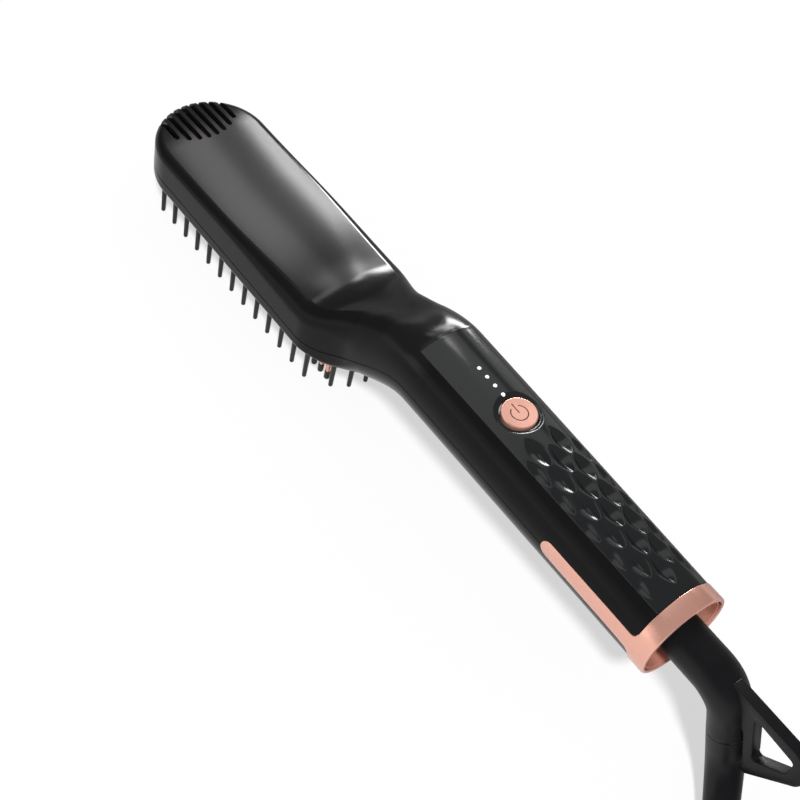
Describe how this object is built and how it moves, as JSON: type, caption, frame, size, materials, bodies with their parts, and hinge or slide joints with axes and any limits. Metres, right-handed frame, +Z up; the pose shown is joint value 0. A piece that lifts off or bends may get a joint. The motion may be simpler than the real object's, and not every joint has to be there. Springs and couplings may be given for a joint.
{
  "type": "hot comb",
  "caption": "Heated straightening comb with a power button, a diamond grip, a swivelling mains cord and a hanging loop.",
  "frame": {"origin": "centre of the bounding box of the comb with its swivel elbow and loop, at the tips of the guard teeth", "axes": "+X runs along the comb from the head's tip to the cord end, +Z up through the head's top, +Y to the left seen from the head"},
  "size_m": [0.382, 0.0547, 0.0434],
  "materials": {
    "shell_black": "satin",
    "panel_black": "gloss",
    "comb_black": "matte",
    "rose_gold": "satin metallic",
    "rose_aluminium": "anodised",
    "light_white": "gloss",
    "circuit_board": "semi-gloss",
    "component_dark": "matte",
    "component_yellow": "gloss",
    "ceramic": "matte",
    "mica": "satin",
    "steel": "brushed",
    "brass": "satin",
    "bush_plastic": "satin",
    "lead_red": "satin",
    "lead_white": "satin",
    "cord_black": "satin",
    "tie_black": "matte",
    "pin_nickel": "nickel"
  },
  "bodies": {
    "comb": {"upper_shell": "shell_black", "lower_shell": "shell_black", "grip_panel": "panel_black", "end_ring": "rose_gold", "status_lights": "light_white", "control_board": "circuit_board", "led_chips": "light_white", "tact_switch": "steel", "mains_capacitor": "component_yellow", "triac": "component_dark", "board_fuse": "ceramic", "guard_frame": "comb_black", "guard_teeth": "comb_black", "heating_plate": "rose_aluminium", "heated_teeth": "rose_aluminium", "heat_caps": "comb_black", "ceramic_heaters": "ceramic", "insulation_sheet": "mica", "heater_clamp": "steel", "clamp_screws": "steel", "heat_shield": "steel", "temperature_sensor": "component_dark", "thermal_fuse": "steel", "heater_leads": "lead_red", "sensor_leads": "lead_white", "shell_screws": "steel", "swivel_bush": "bush_plastic", "contact_brushes": "brass"},
    "button": {"power_button": "rose_gold", "switch_plunger": "component_dark"},
    "swivel": {"swivel_elbow": "shell_black", "slip_rings": "brass", "retaining_ring": "steel", "cord_boot": "cord_black", "power_cord": "cord_black", "cord_hank": "cord_black", "hank_tie": "tie_black", "plug_body": "cord_black", "plug_pins": "pin_nickel"}
  },
  "joints": [
    {"name": "power_button_press", "type": "slide", "parent": "comb", "child": "button", "axis": [0, 0, -1], "range_m": [0, 0.0007], "stiffness_N_per_m": 1500, "springref_m": -0.001},
    {"name": "cord_swivel", "type": "hinge", "parent": "comb", "child": "swivel", "pos_m": [0.09, 0, 0.0312], "axis": [1, 0, 0], "continuous": true}
  ]
}
